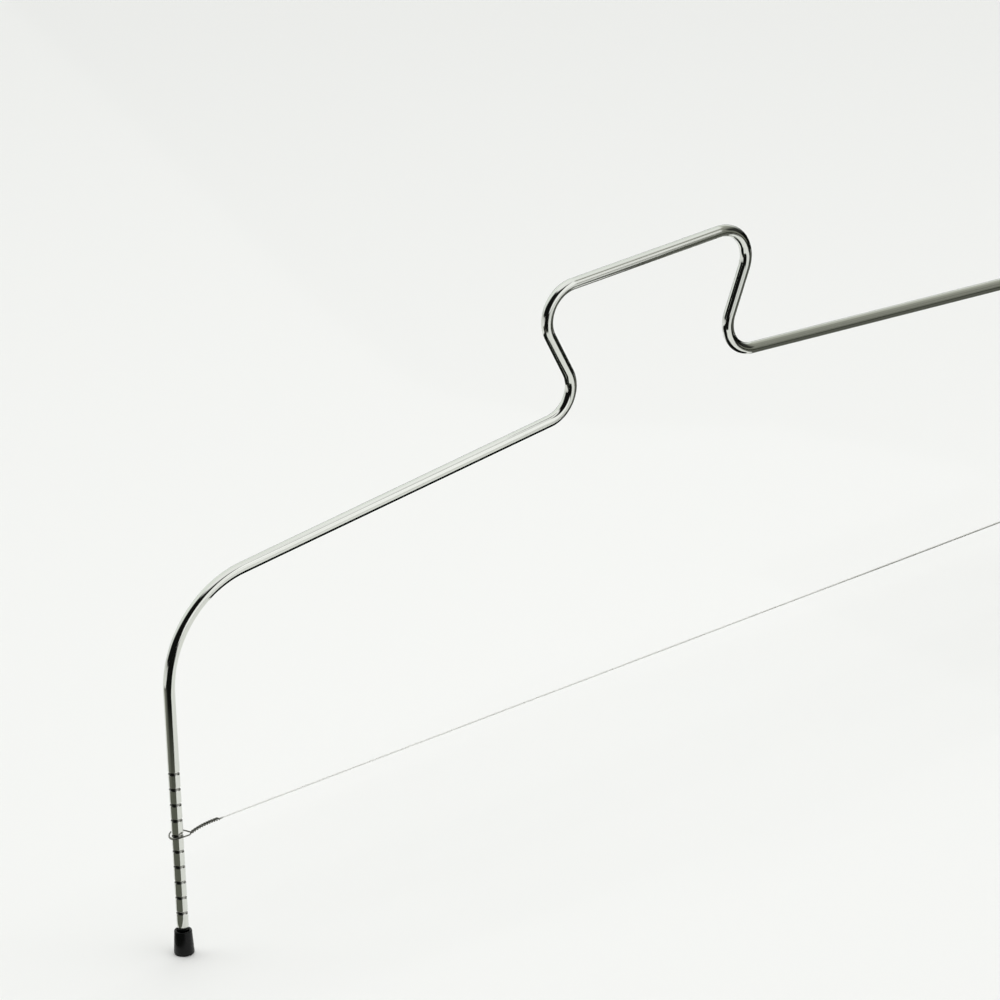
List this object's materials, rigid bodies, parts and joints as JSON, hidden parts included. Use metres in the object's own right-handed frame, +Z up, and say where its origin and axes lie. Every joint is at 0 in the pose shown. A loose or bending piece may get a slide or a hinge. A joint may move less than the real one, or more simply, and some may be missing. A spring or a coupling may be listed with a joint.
{
  "type": "cake cutter",
  "caption": "Bright bent-rod bow with a raised hand grip, ring-notched legs on black foot caps and a thin wire set across the legs for slicing level layers.",
  "frame": {"origin": "on the table, midway between the two feet, in the plane of the bow", "axes": "+X from the left foot to the right foot along the wire, +Y square to the bow, +Z up to the grip"},
  "size_m": [0.3662, 0.0064, 0.1678],
  "materials": {
    "bright_rod": "polished bright plating with faint draw lines",
    "black_cap": "satin black moulding",
    "wire_steel": "drawn spring wire"
  },
  "bodies": {
    "bow": {"bow_frame": "bright_rod", "left_foot_cap": "black_cap", "right_foot_cap": "black_cap"},
    "wire": {"cutting_wire": "wire_steel"}
  },
  "joints": [
    {"name": "wire_height", "type": "slide", "parent": "bow", "child": "wire", "axis": [0, 0, 1], "range_m": [-0.025, 0.02]}
  ]
}
